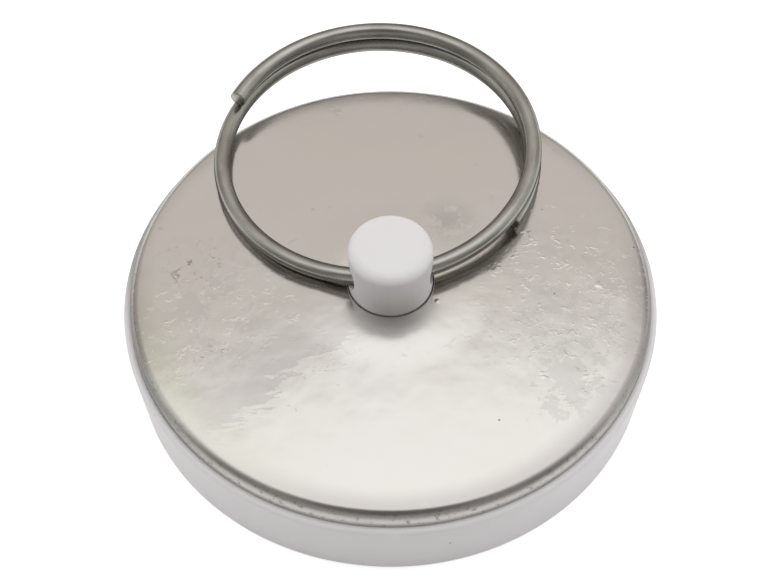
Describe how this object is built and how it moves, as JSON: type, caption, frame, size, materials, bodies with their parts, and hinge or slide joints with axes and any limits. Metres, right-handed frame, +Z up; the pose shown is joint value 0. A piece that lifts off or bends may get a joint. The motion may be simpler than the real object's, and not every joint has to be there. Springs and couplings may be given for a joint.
{
  "type": "drain stopper",
  "caption": "Tapered white rubber drain stopper with a pressed steel cap and a loose split ring through its post, for closing a sink or bath waste.",
  "frame": {"origin": "on the plug's axis, in the plane of its underside", "axes": "+Z up along the plug's axis, X along the cross hole in the post, +Y to the side that the ring lies on at rest"},
  "size_m": [0.0452, 0.0499, 0.0148],
  "materials": {
    "plug_rubber": "smooth satin white rubber with a faint lavender cast",
    "cap_steel": "polished stainless sheet with a hazy, slightly wavy mirror and fine rub marks",
    "ring_wire": "dull plated spring-steel wire"
  },
  "bodies": {
    "plug": {"plug_body": "plug_rubber", "cap": "cap_steel"},
    "ring": {"split_ring": "ring_wire"}
  },
  "joints": [
    {"name": "ring_swing", "type": "hinge", "parent": "plug", "child": "ring", "pos_m": [0, 0, 0.01178], "axis": [1, 0, 0], "range_deg": [0, 186.8]}
  ]
}
